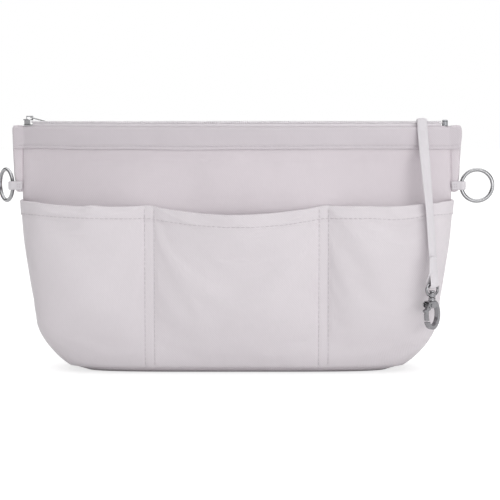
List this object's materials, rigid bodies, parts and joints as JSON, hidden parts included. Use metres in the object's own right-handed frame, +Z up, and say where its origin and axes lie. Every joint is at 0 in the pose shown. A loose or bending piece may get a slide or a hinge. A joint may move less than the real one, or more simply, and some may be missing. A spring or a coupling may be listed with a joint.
{
  "type": "purse organizer insert",
  "caption": "Soft zip-top pouch insert with slip pockets outside and inside, a carrying ring on each side and a key strap with a swivel clasp.",
  "frame": {"origin": "middle of the flat base, on the surface it stands on", "axes": "+X to the right seen from the front, -Y towards the front, +Z up"},
  "size_m": [0.3424, 0.0977, 0.1725],
  "materials": {
    "shell_cloth": "matt nylon twill",
    "hem_cloth": "matt nylon twill",
    "lining_cloth": "plain weave",
    "foam": "soft foam",
    "board": "stiff sheet",
    "zip_tape": "woven tape",
    "zip_coil": "moulded coil",
    "webbing": "ribbed tape",
    "nickel": "nickel plate",
    "steel": "plain"
  },
  "bodies": {
    "pouch": {"front_shell": "shell_cloth", "back_shell": "shell_cloth", "front_foam": "foam", "back_foam": "foam", "front_lining": "lining_cloth", "back_lining": "lining_cloth", "base_panel": "shell_cloth", "base_board": "board", "base_lining": "lining_cloth", "front_pockets": "shell_cloth", "back_pockets": "shell_cloth", "front_inner_pockets": "lining_cloth", "back_inner_pockets": "lining_cloth", "front_hem": "hem_cloth", "back_hem": "hem_cloth", "zip_tape_front": "zip_tape", "zip_tape_back": "zip_tape", "zip_coil_front": "zip_coil", "zip_coil_back": "zip_coil", "zip_end_stop": "nickel", "side_binding_left": "shell_cloth", "side_binding_right": "shell_cloth", "ring_tab_left": "webbing", "ring_tab_right": "webbing", "key_strap_anchor": "webbing"},
    "left_ring": {"ring_left": "nickel"},
    "right_ring": {"ring_right": "nickel"},
    "slider": {"zip_slider": "nickel"},
    "pull": {"zip_pull": "nickel"},
    "strap": {"key_strap": "webbing"},
    "eye": {"clasp_eye": "nickel"},
    "hook": {"clasp_hook": "nickel", "clasp_gate_pin": "steel", "clasp_gate_spring": "steel"},
    "gate": {"clasp_gate": "nickel"}
  },
  "joints": [
    {"name": "left_ring_swing", "type": "hinge", "parent": "pouch", "child": "left_ring", "pos_m": [-0.15355, 0, 0.125], "axis": [0, 0, 1], "range_deg": [-32, 148]},
    {"name": "right_ring_swing", "type": "hinge", "parent": "pouch", "child": "right_ring", "pos_m": [0.15355, 0, 0.125], "axis": [0, 0, 1], "range_deg": [-90, 90]},
    {"name": "zip_slide", "type": "slide", "parent": "pouch", "child": "slider", "axis": [1, 0, 0], "range_m": [0, 0.24]},
    {"name": "zip_pull_swing", "type": "hinge", "parent": "slider", "child": "pull", "pos_m": [-0.1404, 0, 0.1713], "axis": [0, -1, 0], "range_deg": [0, 185]},
    {"name": "strap_swing", "type": "hinge", "parent": "pouch", "child": "strap", "pos_m": [0.1254, -0.0117, 0.163], "axis": [-0.9563, -0.2924, 0], "range_deg": [0, 110]},
    {"name": "clasp_tilt", "type": "hinge", "parent": "strap", "child": "eye", "pos_m": [0.1289, -0.0475, 0.062], "axis": [-0.7431, -0.6691, 0], "range_deg": [0, 90]},
    {"name": "clasp_swivel", "type": "hinge", "parent": "eye", "child": "hook", "pos_m": [0.1289, -0.0475, 0.062], "axis": [0, 0, 1], "continuous": true},
    {"name": "clasp_gate_open", "type": "hinge", "parent": "hook", "child": "gate", "pos_m": [0.1262, -0.0499, 0.0488], "axis": [0.6691, -0.7431, 0], "range_deg": [0, 25], "stiffness_Nm_per_rad": 0.01}
  ]
}
